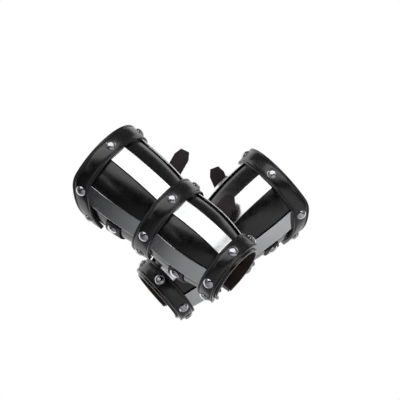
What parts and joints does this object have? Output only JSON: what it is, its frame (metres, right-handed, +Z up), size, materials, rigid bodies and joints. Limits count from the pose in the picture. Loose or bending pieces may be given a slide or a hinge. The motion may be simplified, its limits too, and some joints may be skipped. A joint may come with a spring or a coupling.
{
  "type": "pair of leather bracers",
  "caption": "Two tapered forearm guards of black leather with polished steel splints, riveted bands and buckled closure straps, crossed as worn.",
  "frame": {"origin": "middle of the right sleeve's axis, where the right forearm passes", "axes": "+X to the right as the pair is seen from in front, +Y away from the viewer, +Z up"},
  "size_m": [0.2633, 0.2263, 0.2134],
  "materials": {
    "sleeve_leather": "glossy black",
    "lining_leather": "matt suede",
    "band_leather": "semi-gloss grained, stitched edges",
    "strap_leather": "semi-matt grained",
    "polished_steel": "mirror polished",
    "chrome_rivet": "polished",
    "chrome_buckle": "polished"
  },
  "bodies": {
    "right_bracer": {"right_elbow_band_rivets": "chrome_rivet", "right_middle_band_rivets": "chrome_rivet", "right_wrist_band_rivets": "chrome_rivet", "right_strap_rivets": "chrome_rivet", "right_leather_sleeve": "sleeve_leather", "right_lining": "lining_leather", "right_strap_side_splint": "polished_steel", "right_crown_splint": "polished_steel", "right_tail_side_splint": "polished_steel", "right_buckle_side_splint": "polished_steel", "right_elbow_band": "band_leather", "right_middle_band": "band_leather", "right_wrist_band": "band_leather", "right_elbow_strap": "strap_leather", "right_elbow_chape": "strap_leather", "right_elbow_buckle_frame": "chrome_buckle", "right_elbow_keeper": "strap_leather", "right_wrist_strap": "strap_leather", "right_wrist_chape": "strap_leather", "right_wrist_buckle_frame": "chrome_buckle", "right_wrist_keeper": "strap_leather"},
    "left_bracer": {"left_elbow_band_rivets": "chrome_rivet", "left_middle_band_rivets": "chrome_rivet", "left_wrist_band_rivets": "chrome_rivet", "left_strap_rivets": "chrome_rivet", "left_leather_sleeve": "sleeve_leather", "left_lining": "lining_leather", "left_strap_side_splint": "polished_steel", "left_crown_splint": "polished_steel", "left_tail_side_splint": "polished_steel", "left_buckle_side_splint": "polished_steel", "left_elbow_band": "band_leather", "left_middle_band": "band_leather", "left_wrist_band": "band_leather", "left_elbow_strap": "strap_leather", "left_elbow_chape": "strap_leather", "left_elbow_buckle_frame": "chrome_buckle", "left_elbow_keeper": "strap_leather", "left_wrist_strap": "strap_leather", "left_wrist_chape": "strap_leather", "left_wrist_buckle_frame": "chrome_buckle", "left_wrist_keeper": "strap_leather"},
    "right_elbow_buckle_prong": {"right_elbow_buckle_prong": "chrome_buckle"},
    "right_wrist_buckle_prong": {"right_wrist_buckle_prong": "chrome_buckle"},
    "right_elbow_strap_tail": {"right_elbow_strap_tail": "strap_leather"},
    "right_wrist_strap_tail": {"right_wrist_strap_tail": "strap_leather"},
    "left_elbow_buckle_prong": {"left_elbow_buckle_prong": "chrome_buckle"},
    "left_wrist_buckle_prong": {"left_wrist_buckle_prong": "chrome_buckle"},
    "left_elbow_strap_tail": {"left_elbow_strap_tail": "strap_leather"},
    "left_wrist_strap_tail": {"left_wrist_strap_tail": "strap_leather"}
  },
  "joints": [
    {"name": "left_bracer_away", "type": "slide", "parent": "right_bracer", "child": "left_bracer", "axis": [0, 1, 0], "range_m": [0, 0.15]},
    {"name": "right_elbow_prong_lift", "type": "hinge", "parent": "right_bracer", "child": "right_elbow_buckle_prong", "pos_m": [-0.02785, 0.05492, 0.004], "axis": [0.7632, -0.3273, -0.5571], "range_deg": [0, 10]},
    {"name": "right_elbow_tail_flex", "type": "hinge", "parent": "right_bracer", "child": "right_elbow_strap_tail", "pos_m": [-0.01741, 0.06076, 0.01363], "axis": [-0.7283, 0.3403, 0.5948], "range_deg": [0, 30], "stiffness_Nm_per_rad": 0.05},
    {"name": "right_wrist_prong_lift", "type": "hinge", "parent": "right_bracer", "child": "right_wrist_buckle_prong", "pos_m": [0.03209, 0.02799, -0.04892], "axis": [0.773, -0.3192, -0.5482], "range_deg": [0, 10]},
    {"name": "right_wrist_tail_flex", "type": "hinge", "parent": "right_bracer", "child": "right_wrist_strap_tail", "pos_m": [0.04255, 0.03514, -0.03979], "axis": [-0.7333, 0.3399, 0.5889], "range_deg": [0, 10], "stiffness_Nm_per_rad": 0.05},
    {"name": "left_elbow_prong_lift", "type": "hinge", "parent": "left_bracer", "child": "left_elbow_buckle_prong", "pos_m": [0.09366, 0.1565, -0.00366], "axis": [0.7603, 0.167, 0.6277], "range_deg": [0, 10]},
    {"name": "left_elbow_tail_flex", "type": "hinge", "parent": "left_bracer", "child": "left_elbow_strap_tail", "pos_m": [0.08329, 0.16162, 0.00644], "axis": [-0.7248, -0.1768, -0.6659], "range_deg": [0, 30], "stiffness_Nm_per_rad": 0.05},
    {"name": "left_wrist_prong_lift", "type": "hinge", "parent": "left_bracer", "child": "left_wrist_buckle_prong", "pos_m": [0.03429, 0.14364, -0.0622], "axis": [0.7698, 0.1596, 0.618], "range_deg": [0, 10]},
    {"name": "left_wrist_tail_flex", "type": "hinge", "parent": "left_bracer", "child": "left_wrist_strap_tail", "pos_m": [0.02403, 0.15013, -0.05238], "axis": [-0.73, -0.1769, -0.6601], "range_deg": [0, 30], "stiffness_Nm_per_rad": 0.05}
  ]
}
